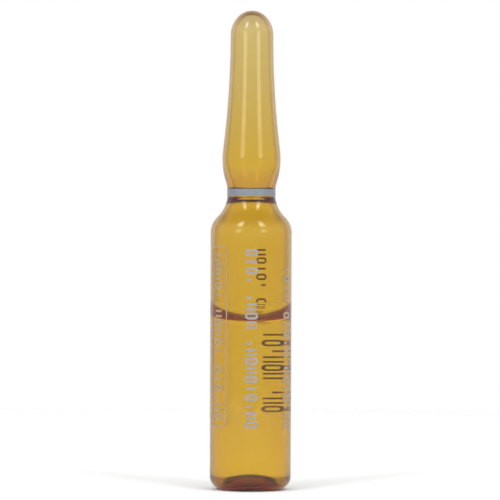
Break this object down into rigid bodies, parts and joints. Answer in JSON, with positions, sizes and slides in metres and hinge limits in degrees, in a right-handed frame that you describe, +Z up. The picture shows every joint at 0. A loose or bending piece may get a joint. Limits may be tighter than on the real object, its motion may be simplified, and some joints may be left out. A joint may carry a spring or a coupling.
{
  "type": "glass ampoule",
  "caption": "Sealed amber glass ampoule with a straight body, narrow neck, bulbed stem and round tip, part filled with clear liquid, with a grey break ring and plain printed marks.",
  "frame": {"origin": "centre of the foot, on the surface that the ampoule stands on", "axes": "+Z up the axis of the ampoule to its sealed tip; the centre print faces -Y and +X is to its right"},
  "size_m": [0.0108, 0.0108, 0.0631],
  "materials": {
    "amber_glass": "clear, fire polished",
    "clear_liquid": "clear liquid",
    "ring_enamel": "fired enamel, satin",
    "pale_ink": "screen printed, matt",
    "grey_ink": "screen printed, matt",
    "brown_ink": "screen printed, matt"
  },
  "bodies": {
    "root": {"glass_ampoule": "amber_glass", "liquid_fill": "clear_liquid", "break_ring": "ring_enamel", "left_print": "pale_ink", "centre_print": "grey_ink", "right_print": "pale_ink", "back_print": "brown_ink"}
  },
  "joints": []
}
